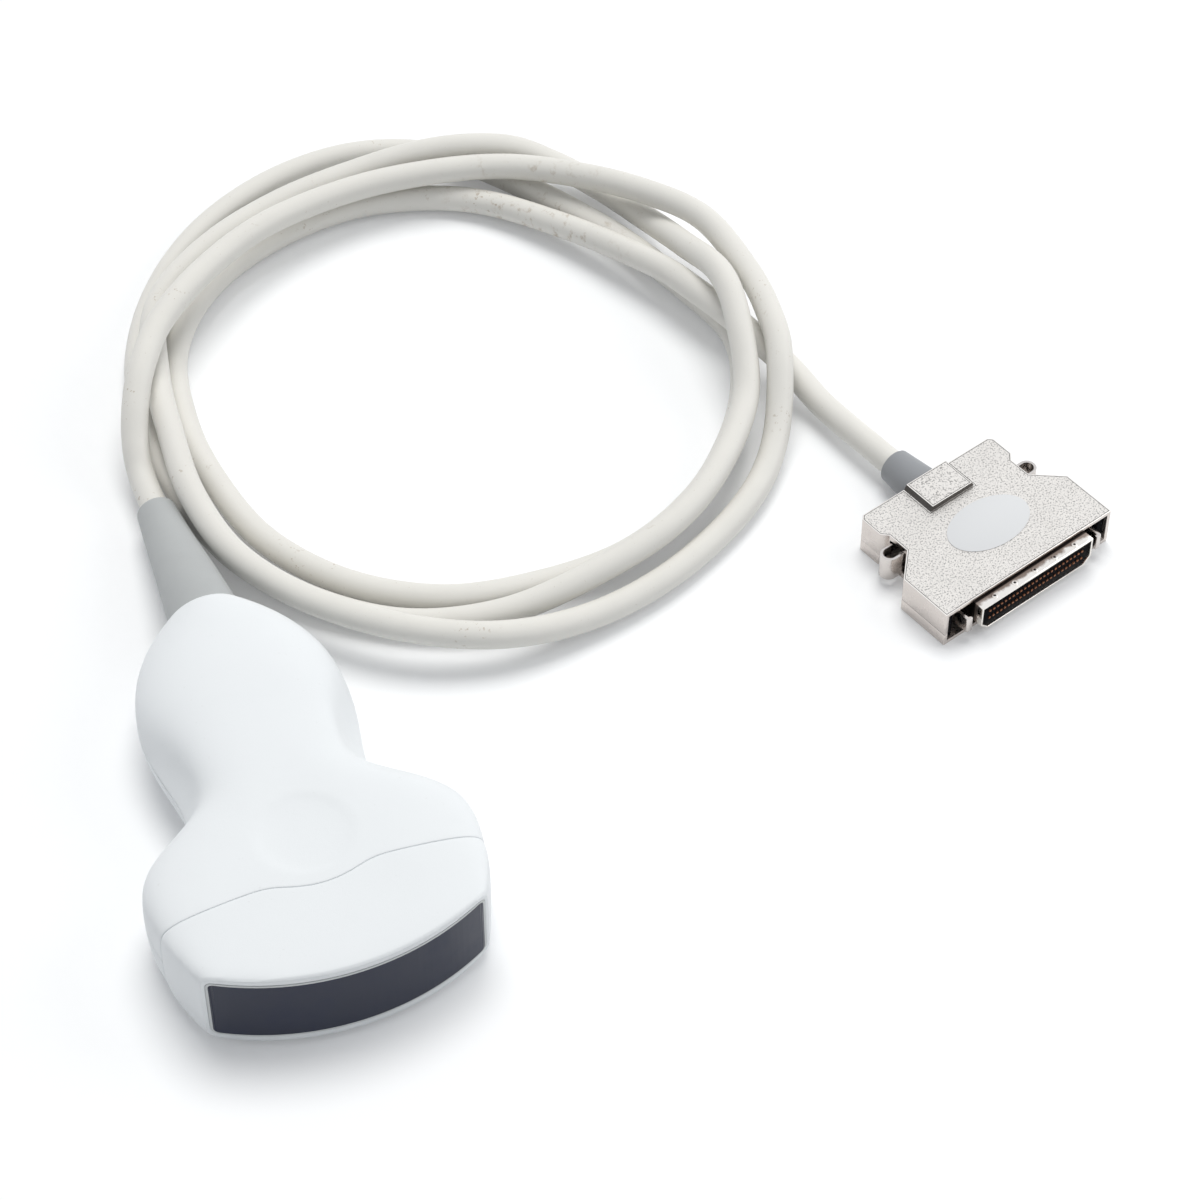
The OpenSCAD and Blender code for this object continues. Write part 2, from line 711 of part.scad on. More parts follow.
// The latches' pivots, hooks and thumb loops
pivot_inset = 1.6;
pivot_share = 0.36;
pivot = [neck_w / 2 - pivot_inset, hood_depth * pivot_share];
hook_gap = 3.4;
hook_u = shroud_w / 2 + hook_gap;
loop_root = 2.6;
arm_t = 1;
loop_t = 0.7;
loop_out = 5;
hook_out = 1.9;
hook_bite = 1.1;
boss_r = pin_r + 1;
latch_swing = 6;

// Raised rings stand in a row on the shroud
dimple_count = 5;
dimple_r = 0.8;
dimple_bore_r = 0.35;
dimple_h = 0.35;
dimple_sides = 10;
dimple_step_share = 0.18;
dimple_place_share = 0.55;
module plug_shroud() {
    dimple_step = shroud_w * dimple_step_share;
    color([0.75, 0.74, 0.73]) at_plug() {
        difference() {
            shroud_block(0, -shroud_out, shroud_in);
            shroud_block(shroud_t, -shroud_out - over, shroud_in + over);
        }
        for (i = [0 : dimple_count - 1])
            translate([(i - (dimple_count - 1) / 2) * dimple_step,
                       -shroud_out * dimple_place_share, mid_h + shroud_h / 2]) difference() {
                cylinder(r = dimple_r, h = dimple_h, $fn = dimple_sides);
                translate([0, 0, dimple_h / 3])
                    cylinder(r = dimple_bore_r, h = dimple_h, $fn = dimple_sides);
            }
    }
}

// The insulator fills the shroud up to its face. Each contact shows as a tip in that face, with
// its tail behind.
insulator_recess = 0.6;
insulator_back = 1.6;
tail_back = shroud_in + insulator_back;
module plug_insulator() {
    color([0.09, 0.09, 0.10]) at_plug()
        shroud_block(shroud_t, insulator_recess - shroud_out, tail_back);
}

contact_w = 0.6;
contact_t = 0.5;
contact_row_gap = 2.4;
tip_len = 0.3;
tail_len = 3;
module contact_row(side) {
    row_z = mid_h + side * contact_row_gap / 2;
    color([0.80, 0.58, 0.28]) at_plug()
        for (i = [0 : contact_count - 1])
            translate([(i - (contact_count - 1) / 2) * contact_pitch, 0, 0]) {
                translate([-contact_w / 2, insulator_recess - shroud_out - tip_len,
                           row_z - contact_t / 2])
                    cube([contact_w, tip_len, contact_t]);
                translate([-contact_w / 2, tail_back, row_z - contact_t / 2])
                    cube([contact_w, tail_len, contact_t]);
            }
}

module upper_contacts() {
    contact_row(1);
}

module lower_contacts() {
    contact_row(-1);
}

term_len = 9;
term_w = 2 * (pivot[0] - boss_r - 2 * seat_gap);
term_t = contact_row_gap - contact_t;
module termination_board() {
    color([0.10, 0.38, 0.22]) at_plug()
        translate([-term_w / 2, tail_back + fit, mid_h - term_t / 2])
            cube([term_w, term_len, term_t]);
}

module wire_fan() {
    fan_from = tail_back + fit + term_len + seat_gap;
    fan_to = hood_depth - hood_wall - plug_ferrule_len + over;
    color([0.70, 0.70, 0.72]) at_plug()
        translate([0, 0, cable_z - core_d / 4])
            linear_extrude(core_d / 2)
                polygon([[-shroud_w / 3, fan_from], [shroud_w / 3, fan_from],
                         [core_d / 3, fan_to], [-core_d / 3, fan_to]]);
}

// Square posts in the hood's front corners take the halves' lugs
post_w = 2;
module corner_posts() {
    color([0.12, 0.12, 0.13]) at_plug()
        for (side = [-1, 1])
            translate([side * (hood_w / 2 - hood_wall - post_w / 2 - fit) - post_w / 2,
                       post_w / 2, hood_wall])
                cube([post_w, post_w, hood_h - 2 * hood_wall]);
}

// Each latch turns on a pin between the halves. Squeezing the loops swings the hooks outwards.
module latch() {
    loop_from = neck_w / 2 - loop_root;
    translate([0, 0, mid_h - latch_h / 2]) difference() {
        linear_extrude(latch_h) union() {
            hull() {
                translate(pivot) circle(r = arm_t / 2);
                translate([hook_u, post_w]) circle(r = arm_t / 2);
            }
            hull() {
                translate([hook_u, post_w]) circle(r = arm_t / 2);
                translate([hook_u, -hook_out]) circle(r = arm_t / 2);
            }
            translate([hook_u - hook_bite, -hook_out - arm_t / 2]) square([hook_bite, arm_t]);
            translate(pivot) circle(r = boss_r);
            hull() {
                translate(pivot) circle(r = arm_t / 2);
                translate([loop_from, loop_v]) circle(r = arm_t / 2);
            }
        }
        translate([pivot[0], pivot[1], -over])
            cylinder(r = pin_r + pin_clear, h = latch_h + 2 * over);
    }
    // The thumb loop: a bent strip whose round end points outwards
    translate([0, 0, mid_h - loop_h / 2]) linear_extrude(loop_h) difference() {
        union() {
            translate([loop_from, loop_v - loop_len / 2])
                square([neck_w / 2 - loop_from + loop_out - loop_len / 2, loop_len]);
            translate([neck_w / 2 + loop_out - loop_len / 2, loop_v]) circle(d = loop_len);
        }
        translate([loop_from + loop_t, loop_v - loop_len / 2 + loop_t])
            square([neck_w / 2 - loop_from + loop_out - loop_len / 2 - loop_t,
                    loop_len - 2 * loop_t]);
        translate([neck_w / 2 + loop_out - loop_len / 2, loop_v])
            circle(d = loop_len - 2 * loop_t);
    }
}

module latch_right() {
    color([0.62, 0.60, 0.58]) at_plug() latch();
}

module latch_left() {
    color([0.62, 0.60, 0.58]) at_plug() mirror([1, 0, 0]) latch();
}

module latch_pins() {
    color([0.60, 0.60, 0.62]) at_plug()
        for (side = [-1, 1])
            translate([side * pivot[0], pivot[1], hood_wall])
                cylinder(r = pin_r, h = hood_h - 2 * hood_wall);
}

spring_wire = 0.4;
module latch_springs() {
    spring_h = mid_h - latch_h / 2 - hood_wall - 2 * fit;
    color([0.60, 0.60, 0.62]) at_plug()
        for (side = [-1, 1])
            translate([side * pivot[0], pivot[1], hood_wall + fit]) difference() {
                cylinder(r = pin_r + fit + spring_wire, h = spring_h, $fn = small_sides);
                translate([0, 0, -over])
                    cylinder(r = pin_r + fit, h = spring_h + 2 * over, $fn = small_sides);
            }
}

// The cable's route, from the probe's boot to the plug's boot: three loops and a lead-out
cable_route = [
    [0, 92, 7], [1, 100, 10.5], [4, 109, 15], [9, 119, 18], [18, 133, 18], [34, 149, 16],
    [54, 162, 14], [78, 169, 12], [100, 169, 11.5], [121, 164, 11.5], [138, 152, 13],
    [151, 137, 15.5], [161, 121, 16.5], [164, 100, 16.5], [163, 82, 17.5], [160, 67, 15.5],
    [151, 48, 6], [136, 32, 4], [112, 18, 4], [88, 11, 5], [64, 10, 9], [42, 19, 11.5],
    [24, 36, 11.5], [13, 55, 11.5], [9, 77, 11.5], [10, 99, 11], [13, 123, 10.5], [20, 146, 10.5],
    [38, 164, 9], [60, 175, 8], [82, 179, 8.5], [105, 177, 11.5], [124, 172, 11], [136, 165, 7],
    [145, 154, 4.5], [151, 136, 7], [154, 116, 13.5], [156, 97, 19.5], [154, 80, 18.5],
    [148, 60, 12], [132, 40, 11], [114, 27, 10.5], [91, 20, 9], [68, 19, 6], [46, 26, 4],
    [28, 40, 4], [15, 59, 4], [8.5, 81, 4], [6.5, 106, 4], [10, 132, 4], [22, 157, 4], [41, 177, 4],
    [65, 189, 4], [89, 191, 4], [110, 182, 4], [126, 163, 4], [142, 136, 4], [152, 110, 4],
    [157, 90, 4], [153, 73, 4], [143, 56, 4], [126, 39, 4], [104, 28, 4], [80, 26, 4], [57, 30, 4],
    [37, 43, 4], [23, 63, 4], [17, 87, 4], [16, 110, 4], [21, 135, 4], [36, 155, 4], [58, 167, 4],
    [84, 171, 4], [110, 163, 4], [129, 143, 6], [145, 116, 10], [151, 101, 11.5], [157, 85, 11.5],
    [164, 70, 7.5], [168, 56, 5]];
lead_in = 7;
function cable_points() = concat(
    [[0, probe_len / 2, boot_tip_z]], cable_route,
    [plug_point(0, hood_depth + plug_boot_len + lead_in, cable_z),
     plug_point(0, hood_depth + plug_boot_len, cable_z)]);
// Catmull-Rom spline through the points, at share t between points i and i + 1
function spline(p, i, t) =
    let (n = len(p) - 1, a = p[max(0, i - 1)], b = p[i], c = p[i + 1], d = p[min(n, i + 2)],
         q = (2 * b + (c - a) * t + (2 * a - 5 * b + 4 * c - d) * t * t
              + (3 * b - a - 3 * c + d) * t * t * t) / 2)
    [q[0], q[1], max(q[2], cable_d / 2)];
function unit(v) = v / norm(v);
cable_sides = 8;
cable_line = let (p = cable_points(), n = len(p) - 1)
    concat([for (i = [0 : n - 1]) spline(p, i, 0)], [p[n]]);
module cable() {
    n = len(cable_line);
    rings = [for (i = [0 : n - 1])
        let (t = i == 0 ? [0, 1, 0] : i == n - 1 ? [sin(plug_turn), -cos(plug_turn), 0]
                 : unit(cable_line[i + 1] - cable_line[i - 1]),
             side = unit(cross(t, [0, 0, 1])), up = cross(side, t))
        [for (j = [0 : cable_sides - 1])
            let (q = (j + 0.5) * 360 / cable_sides)
            cable_line[i] + cable_d / 2 * (cos(q) * side + sin(q) * up)]];
    color([0.87, 0.86, 0.84])
        polyhedron(flat(rings), concat(ring_quads(n, cable_sides), round_ends(n, cable_sides)));
}

// Length of the cable and the least gap between its loops, on points along the spline
cable_fine = let (p = cable_points(), n = len(p) - 1)
    [for (i = [0 : n - 1]) for (t = [0, 0.25, 0.5, 0.75]) spline(p, i, t)];
function run_length(p, i = 0, sum = 0) =
    i >= len(p) - 1 ? sum : run_length(p, i + 1, sum + norm(p[i + 1] - p[i]));
apart = 8;
least = min([for (i = [0 : len(cable_fine) - 1]) for (j = [i + apart : len(cable_fine) - 1])
    norm(cable_fine[i] - cable_fine[j])]);
echo(cable_length = run_length(cable_fine), least_gap = least - cable_d);

nose_shell();
upper_handle_shell();
lower_handle_shell();
acoustic_lens();
lens_seal();
matching_layer();
piezo_elements();
backing_block();
array_carrier();
upper_flex();
lower_flex();
interconnect_board();
board_sockets();
board_cradle();
coax_bundle();
shield_ferrule();
cable_clamp();
clamp_screws();
strain_relief_boot();
cable();
hood_upper();
hood_lower();
hood_screws();
bare_label();
connector_boot();
plug_ferrule();
cable_saddle();
saddle_screws();
plug_shroud();
plug_insulator();
upper_contacts();
lower_contacts();
termination_board();
wire_fan();
corner_posts();
latch_pins();
latch_springs();
latch_left();
latch_right();
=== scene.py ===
"""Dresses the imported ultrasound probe, its cable and its plug, and lights them on a pale table.

Every length is in metres in the row frame: the probe lies along Y with its lens towards -Y,
and the table is at Z = 0. The plug lies turned on the table and has its own frame, with X
across the plug and Y towards its cable.
"""

import json
import math

import bpy
from bpy.props import FloatProperty, FloatVectorProperty, IntProperty, PointerProperty
from mathutils import Matrix, Vector


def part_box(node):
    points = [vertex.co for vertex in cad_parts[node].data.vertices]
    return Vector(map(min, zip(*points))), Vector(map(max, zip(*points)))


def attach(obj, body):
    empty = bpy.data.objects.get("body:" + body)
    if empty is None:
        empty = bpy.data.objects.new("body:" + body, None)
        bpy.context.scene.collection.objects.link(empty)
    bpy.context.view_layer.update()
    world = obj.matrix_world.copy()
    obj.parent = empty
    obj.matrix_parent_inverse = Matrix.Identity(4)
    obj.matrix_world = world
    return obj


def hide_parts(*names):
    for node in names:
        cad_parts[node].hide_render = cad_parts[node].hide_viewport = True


bl_info = {
    "name": "Convex Probe Dresser",
    "version": (1, 0, 0),
    "blender": (4, 5, 0),
    "location": "3D View > Sidebar > Probe",
    "description": "Models the looks of an ultrasound probe with its cable and plug",
    "category": "Object",
}

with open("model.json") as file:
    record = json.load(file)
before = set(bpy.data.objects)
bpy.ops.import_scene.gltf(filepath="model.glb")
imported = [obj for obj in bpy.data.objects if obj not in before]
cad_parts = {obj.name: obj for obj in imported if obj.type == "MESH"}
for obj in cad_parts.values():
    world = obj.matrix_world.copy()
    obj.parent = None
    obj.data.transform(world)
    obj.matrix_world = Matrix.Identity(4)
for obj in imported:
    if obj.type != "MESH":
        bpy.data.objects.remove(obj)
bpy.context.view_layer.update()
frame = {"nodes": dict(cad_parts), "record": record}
NODES = frame["nodes"]
BODY = "probe_and_plug"
MM = 0.001


def corners(node):
    """The low and the high corner of a CAD node's box."""
    low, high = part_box(node)
    return Vector(low), Vector(high)


LENS_FRONT = corners("acoustic_lens")[0].y
HOUSING_HIGH = corners("upper_handle_shell")[1]
BOOT_END = corners("strain_relief_boot")[1].y

# ---- The housing ----

# Radius of the lens's face. The nose's front edges lie less than FRONT_EDGE behind that arc,
# and the two ends of an edge that runs round the face differ by less than RING_STEP in depth.
LENS_R = 61 * MM
FRONT_EDGE = 0.7 * MM
RING_STEP = 0.1 * MM
FRONT_CREASE = 0.6

# Middle, reach and depth of the shallow thumb dish, pressed into the top skin of the handle.
THUMB_AT = Vector((0, -43 * MM))
THUMB_REACH = 11 * MM
THUMB_DEPTH = 0.65 * MM
TOP_SKIN = 1 * MM

# Edges sharper than this are rims and seams. Points past a solid's box by more than
# SPIKE_ROOM are spikes, and points within END_ROOM of the housing's end belong to its rim.
SEAM_SHARPNESS = math.radians(48)
SPIKE_ROOM = 0.05 * MM
END_ROOM = 0.01 * MM

# ---- Meshes ----

# Limits for welding points, joining triangles into quads and joining faces in one plane.
WELD = 0.002 * MM
QUAD_FOLD = math.radians(50)
QUAD_SKEW = math.radians(60)
FLAT = math.radians(0.5)
SUBDIVISIONS = 2
# A level face's normal has at least this Z, and an upright face's normal less than STEEP.
LEVEL = 0.99
STEEP = 0.9

# ---- The plug ----

# The plug's frame in the row frame, as the part's source places it.
PLUG_PLACE = (Matrix.Translation((190.5 * MM, -15.5 * MM, 0))
              @ Matrix.Rotation(math.radians(18), 4, "Z"))

# Depth under the hood's top of all its outer levels, and the same over its base.
TOP_LEVELS = 2 * MM
BASE_LEVELS = 0.2 * MM
# Foot of the raised pad, and the widths of the rim's painted highlight and the painted shade
# inside it.
PAD_FOOT = 10.7 * MM
RIM_WIDTH = 0.3 * MM
LINE_WIDTH = 0.15 * MM
SEAM_DEPTH = 0.1 * MM
# The floors of the shroud's dimples lie between these depths under their rims; they get painted
# shade in the dark moulding's colour.
DIMPLE_FLOOR = (0.1 * MM, 0.3 * MM)

# ---- The cable ----

# The route in millimetres, as in the part's source: from the probe's boot to the plug.
CABLE_ROUTE = (
    (0, 92, 7), (1, 100, 10.5), (4, 109, 15), (9, 119, 18), (18, 133, 18), (34, 149, 16),
    (54, 162, 14), (78, 169, 12), (100, 169, 11.5), (121, 164, 11.5), (138, 152, 13),
    (151, 137, 15.5), (161, 121, 16.5), (164, 100, 16.5), (163, 82, 17.5), (160, 67, 15.5),
    (151, 48, 6), (136, 32, 4), (112, 18, 4), (88, 11, 5), (64, 10, 9), (42, 19, 11.5),
    (24, 36, 11.5), (13, 55, 11.5), (9, 77, 11.5), (10, 99, 11), (13, 123, 10.5),
    (20, 146, 10.5), (38, 164, 9), (60, 175, 8), (82, 179, 8.5), (105, 177, 11.5),
    (124, 172, 11), (136, 165, 7), (145, 154, 4.5), (151, 136, 7), (154, 116, 13.5),
    (156, 97, 19.5), (154, 80, 18.5), (148, 60, 12), (132, 40, 11), (114, 27, 10.5),
    (91, 20, 9), (68, 19, 6), (46, 26, 4), (28, 40, 4), (15, 59, 4), (8.5, 81, 4),
    (6.5, 106, 4), (10, 132, 4), (22, 157, 4), (41, 177, 4), (65, 189, 4), (89, 191, 4),
    (110, 182, 4), (126, 163, 4), (142, 136, 4), (152, 110, 4), (157, 90, 4), (153, 73, 4),
    (143, 56, 4), (126, 39, 4), (104, 28, 4), (80, 26, 4), (57, 30, 4), (37, 43, 4),
    (23, 63, 4), (17, 87, 4), (16, 110, 4), (21, 135, 4), (36, 155, 4), (58, 167, 4),
    (84, 171, 4), (110, 163, 4), (129, 143, 6), (145, 116, 10), (151, 101, 11.5),
    (157, 85, 11.5), (164, 70, 7.5), (168, 56, 5),
)
# Height at which the cable leaves the probe's boot. In the plug's frame: the point where it
# enters the plug's boot, and the straight stretch before that point.
CABLE_EXIT_Z = 7 * MM
CABLE_ENTRY = Vector((0, 48.5 * MM, 5.7 * MM))
LEAD_IN = Vector((0, 7 * MM, 0))
CABLE_SIDES = 6
# Middle and reach of the brown stains on the cable's far run.
STAIN_AT = Vector((116 * MM, 138 * MM))
STAIN_REACH = 34 * MM

# ---- The stage ----

TABLE_SIZE = 8
TABLE_AT = (0.1, 0.05, -0.1 * MM)
TABLE_COLOUR = (0.86, 0.87, 0.88)
TABLE_GLOW = 0.14
SUN_AT = (0.24, 0.40, 1.0)
SIDE_LIGHT_AT = (0.9, -0.1, 0.55)
LIGHTS_AIM = Vector((0.08, 0.05, 0))
WORLD_COLOUR = (0.94, 0.965, 1.0)
# Strength of the world on the object, and where it is seen itself.
WORLD_LIGHT = 0.41
WORLD_SEEN = 1.0
CAMERA_AT = (-109.3 * MM, -507.5 * MM, 631.0 * MM)
CAMERA_AIM = Vector((93.2 * MM, 19.2 * MM, 0))
CAMERA_SENSOR = 36


# ---- Sizes and colours that a user would change ----


class ProbeSizes(bpy.types.PropertyGroup):
    cable_diameter: FloatProperty(
        name="Cable diameter", description="Diameter of the cable's jacket",
        default=6.8 * MM, min=3 * MM, max=8 * MM, unit="LENGTH")
    cable_steps: IntProperty(
        name="Cable steps", description="Rings between two points of the route",
        default=10, min=4, max=16)
    seam: FloatProperty(
        name="Seam", description="Width of the rounding beside the housing's seams",
        default=0.38 * MM, min=0.1 * MM, max=0.8 * MM, unit="LENGTH")
    pebble: FloatProperty(
        name="Pebble", description="Size of the grains on the hood's cast faces",
        default=0.37 * MM, min=0.2 * MM, max=1 * MM, unit="LENGTH")
    camera_field: FloatProperty(
        name="Camera field", description="The camera's field of view",
        default=math.radians(19.46), min=0.1, max=1, subtype="ANGLE")


class ProbeColours(bpy.types.PropertyGroup):
    housing: FloatVectorProperty(
        name="Housing", description="White moulded shells", subtype="COLOR", size=3,
        default=(0.825, 0.85, 0.865), min=0, max=1)
    lens: FloatVectorProperty(
        name="Lens", description="Dark silicone lens", subtype="COLOR", size=3,
        default=(0.010, 0.0145, 0.036), min=0, max=1)
    seal: FloatVectorProperty(
        name="Seal", description="Pale sealant round the lens", subtype="COLOR", size=3,
        default=(0.62, 0.64, 0.64), min=0, max=1)
    boot: FloatVectorProperty(
        name="Probe boot", description="Grey strain relief of the probe", subtype="COLOR",
        size=3, default=(0.455, 0.47, 0.47), min=0, max=1)
    cable: FloatVectorProperty(
        name="Cable", description="Warm light grey jacket", subtype="COLOR", size=3,
        default=(0.78, 0.765, 0.72), min=0, max=1)
    grime: FloatVectorProperty(
        name="Grime", description="Brown handling marks on the cable", subtype="COLOR",
        size=3, default=(0.36, 0.27, 0.17), min=0, max=1)
    plug_boot: FloatVectorProperty(
        name="Plug boot", description="Grey strain relief of the plug", subtype="COLOR",
        size=3, default=(0.30, 0.31, 0.325), min=0, max=1)
    nickel: FloatVectorProperty(
        name="Nickel", description="Plating of the hood", subtype="COLOR", size=3,
        default=(0.89, 0.85, 0.80), min=0, max=1)
    # The sides' plating is made darker than the hood's nickel: painted shade for what the sides
    # mirror.
    hood_side: FloatVectorProperty(
        name="Hood side", description="Smooth plating on the hood's sides and rims",
        subtype="COLOR", size=3, default=(0.66, 0.61, 0.575), min=0, max=1)
    label: FloatVectorProperty(
        name="Label", description="Bare oval label", subtype="COLOR", size=3,
        default=(0.70, 0.71, 0.72), min=0, max=1)


# ---- Shader expressions ----


class Field:
    """A value that varies over a surface. Python's operators on it add Math nodes."""

    def __init__(self, nodes, socket):
        self.nodes = nodes
        self.socket = socket

    def _math(self, operation, *values):
        return self.nodes.node(
            "ShaderNodeMath", {"operation": operation}, dict(enumerate(values)))["Value"]

    def __add__(self, other):
        return self._math("ADD", self, other)

    def __radd__(self, other):
        return self._math("ADD", other, self)

    def __sub__(self, other):
        return self._math("SUBTRACT", self, other)

    def __rsub__(self, other):
        return self._math("SUBTRACT", other, self)

    def __mul__(self, other):
        return self._math("MULTIPLY", self, other)

    def __rmul__(self, other):
        return self._math("MULTIPLY", other, self)

    def __truediv__(self, other):
        return self._math("DIVIDE", self, other)

    def __rtruediv__(self, other):
        return self._math("DIVIDE", other, self)


def find_socket(sockets, key):
    """The socket with this number, or the enabled one with this name or identifier."""
    if isinstance(key, int):
        return sockets[key]
    for socket in sockets:
        if key in (socket.identifier, socket.name) and socket.enabled:
            return socket
    raise KeyError(key)


class NewNode:
    """A node that was just added. Its outputs are fields, by name."""

    def __init__(self, nodes, node):
        self.nodes = nodes
        self.inputs = node.inputs
        self.outputs = node.outputs

    def __getitem__(self, name):
        return Field(self.nodes, find_socket(self.outputs, name))


class Nodes:
    """A node tree that starts empty and gets all its nodes from one method."""

    def __init__(self, tree):
        self.tree = tree
        tree.nodes.clear()

    def node(self, kind, settings=None, sockets=None):
        """Adds a node: its settings are set first, then its sockets by name or number."""
        node = self.tree.nodes.new(kind)
        for key, value in (settings or {}).items():
            setattr(node, key, value)
        for key, value in (sockets or {}).items():
            self.plug(find_socket(node.inputs, key), value)
        return NewNode(self, node)

    def plug(self, socket, value):
        """Links a field to the socket, or gives it a plain value."""
        if isinstance(value, Field):
            self.tree.links.new(value.socket, socket)
        elif socket.type == "RGBA":
            socket.default_value = (*value, 1)
        else:
            socket.default_value = value

    def seen_directly(self):
        """1 for rays of the camera, of mirrors and of glass, and 0 for light on the object."""
        path = self.node("ShaderNodeLightPath")
        seen = path["Is Camera Ray"]
        for ray in ("Is Glossy Ray", "Is Transmission Ray"):
            seen = self.node("ShaderNodeMath", {"operation": "MAXIMUM"},
                             {0: seen, 1: path[ray]})["Value"]
        return seen


class Finish(Nodes):
    """One material: a Principled surface whose sockets take numbers or fields."""

    def __init__(self, name, **surface):
        self.material = bpy.data.materials.new(name)
        self.material.use_nodes = True
        super().__init__(self.material.node_tree)
        self.shader = self.node("ShaderNodeBsdfPrincipled")
        self.output = self.node("ShaderNodeOutputMaterial", None,
                                {"Surface": self.shader["BSDF"]})
        self.surface(**surface)

    def surface(self, **values):
        """Plugs values or fields into the surface, as in base_color for Base Color."""
        for name, value in values.items():
            title = name.replace("_", " ").title().replace("Ior", "IOR")
            self.plug(self.shader.inputs[title], value)

    def place(self):
        return self.node("ShaderNodeTexCoord")["Object"]

    def axis(self, name):
        return self.node("ShaderNodeSeparateXYZ", None, {0: self.place()})[name]

    def noise(self, size, detail=2.0, roughness=0.5):
        return self.node("ShaderNodeTexNoise", None, {
            "Vector": self.place(), "Scale": 1 / size, "Detail": detail,
            "Roughness": roughness})["Fac"]

    def ramp(self, value, low, high):
        """0 below low and 1 above high, with soft ends."""
        return self.node("ShaderNodeMapRange", {"interpolation_type": "SMOOTHSTEP"}, {
            "Value": value, "From Min": low, "From Max": high})["Result"]

    def clouds(self, size, detail=3, roughness=0.5):
        """Soft patches of this size, from 0 to 1."""
        return self.ramp(self.noise(size, detail, roughness), 0.35, 0.7)

    def mix(self, mask, first, second):
        return self.node("ShaderNodeMix", {"data_type": "RGBA"}, {
            "Factor_Float": mask, "A_Color": first, "B_Color": second})["Result_Color"]

    def bump(self, height, depth):
        self.surface(normal=self.node("ShaderNodeBump", None, {
            "Height": height, "Distance": depth, "Strength": 1.0})["Normal"])


def shade(colour, factor):
    """The colour, lighter or darker."""
    return tuple(min(1, c * factor) for c in colour)


# ---- Finishes ----


def moulded_white(colours):
    """Fine matt skin of a white plastic housing, with faint specks and clouds."""
    finish = Finish("moulded_white", roughness=0.42, specular_ior_level=0.45)
    base = tuple(colours.housing)
    speck = finish.ramp(finish.noise(0.9 * MM, detail=1), 0.74, 0.80)
    tone = finish.mix(finish.clouds(22 * MM) * 0.6, base, shade(base, 0.975))
    finish.surface(base_color=finish.mix(speck * 0.10, tone, (0.45, 0.43, 0.40)),
                   roughness=0.40 + 0.10 * finish.noise(6 * MM))
    finish.bump(finish.noise(0.22 * MM) * 0.6 + finish.noise(1.2 * MM) * 0.4, 0.03 * MM)
    return finish.material


def silicone_lens(colours):
    """Dark satin silicone with faint wipe marks."""
    finish = Finish("silicone_lens", roughness=0.34, specular_ior_level=0.34)
    base = tuple(colours.lens)
    wipe = finish.ramp(finish.noise(9 * MM, detail=4, roughness=0.6), 0.4, 0.75)
    finish.surface(base_color=finish.mix(wipe * 0.5, base, shade(base, 1.25)),
                   roughness=0.32 + 0.12 * wipe)
    finish.bump(finish.noise(0.4 * MM, detail=3), 0.012 * MM)
    return finish.material


def rubber(name, colour, grain=0.5 * MM, depth=0.02 * MM):
    """Matt rubber with a fine grain."""
    finish = Finish(name, roughness=0.5, specular_ior_level=0.35)
    base = tuple(colour)
    cloud = finish.clouds(12 * MM, detail=4, roughness=0.6)
    finish.surface(base_color=finish.mix(cloud * 0.5, base, shade(base, 0.95)),
                   roughness=0.45 + 0.12 * finish.noise(3 * MM))
    finish.bump(finish.noise(grain), depth)
    return finish.material


def cable_jacket(colours):
    """Satin jacket with faint mottling, specks and brown handling marks on the far run."""
    finish = Finish("cable_jacket", roughness=0.44, specular_ior_level=0.4)
    base = tuple(colours.cable)
    cloud = finish.clouds(16 * MM, detail=4, roughness=0.6)
    tone = finish.mix(cloud * 0.6, base, shade(base, 0.955))
    speck = finish.ramp(finish.noise(1.3 * MM, roughness=0.6), 0.62, 0.70)
    rare = finish.ramp(finish.noise(17 * MM), 0.58, 0.70)
    fine = finish.ramp(finish.noise(0.7 * MM, detail=1), 0.74, 0.80)
    across, along = finish.axis("X") - STAIN_AT.x, finish.axis("Y") - STAIN_AT.y
    near = finish.ramp(across * across + along * along, STAIN_REACH ** 2, 0)
    stain = near * finish.ramp(finish.noise(3 * MM, detail=5, roughness=0.7), 0.53, 0.74)
    marked = finish.mix(speck * rare * 0.5 + fine * 0.25 + stain * 0.75, tone,
                        tuple(colours.grime))
    finish.surface(base_color=marked, roughness=0.40 + 0.12 * finish.noise(5 * MM))
    finish.bump(finish.noise(0.5 * MM), 0.012 * MM)
    return finish.material


def pebbled_nickel(colours, sizes):
    """Cast and plated face: bright grains with fine pitting between them, its darkness painted
    shade.
    """
    finish = Finish("pebbled_nickel", metallic=1.0, roughness=0.36)
    base = tuple(colours.nickel)
    grain = finish.noise(sizes.pebble, roughness=0.6)
    pits_painted_shade = finish.ramp(finish.noise(sizes.pebble * 1.1, roughness=0.6), 0.53, 0.61)
    tone = finish.mix(finish.clouds(9 * MM) * 0.5, base, shade(base, 0.93))
    # Painted shade: the pitting is darkened in the colour itself.
    finish.surface(base_color=finish.mix(pits_painted_shade * 0.62, tone, shade(base, 0.12)),
                   roughness=0.30 + 0.25 * grain)
    finish.bump(grain, 0.12 * MM)
    return finish.material


def bright_metal(name, colour, roughness, smeared=0.6):
    """Smooth metal with darker smears."""
    finish = Finish(name, metallic=1.0, roughness=roughness)
    base = tuple(colour)
    smear = finish.ramp(finish.noise(5 * MM, detail=4, roughness=0.6), 0.35, 0.75)
    finish.surface(base_color=finish.mix(smear * smeared, base, shade(base, 0.86)),
                   roughness=roughness + 0.14 * smear)
    finish.bump(finish.noise(0.3 * MM), 0.006 * MM)
    return finish.material


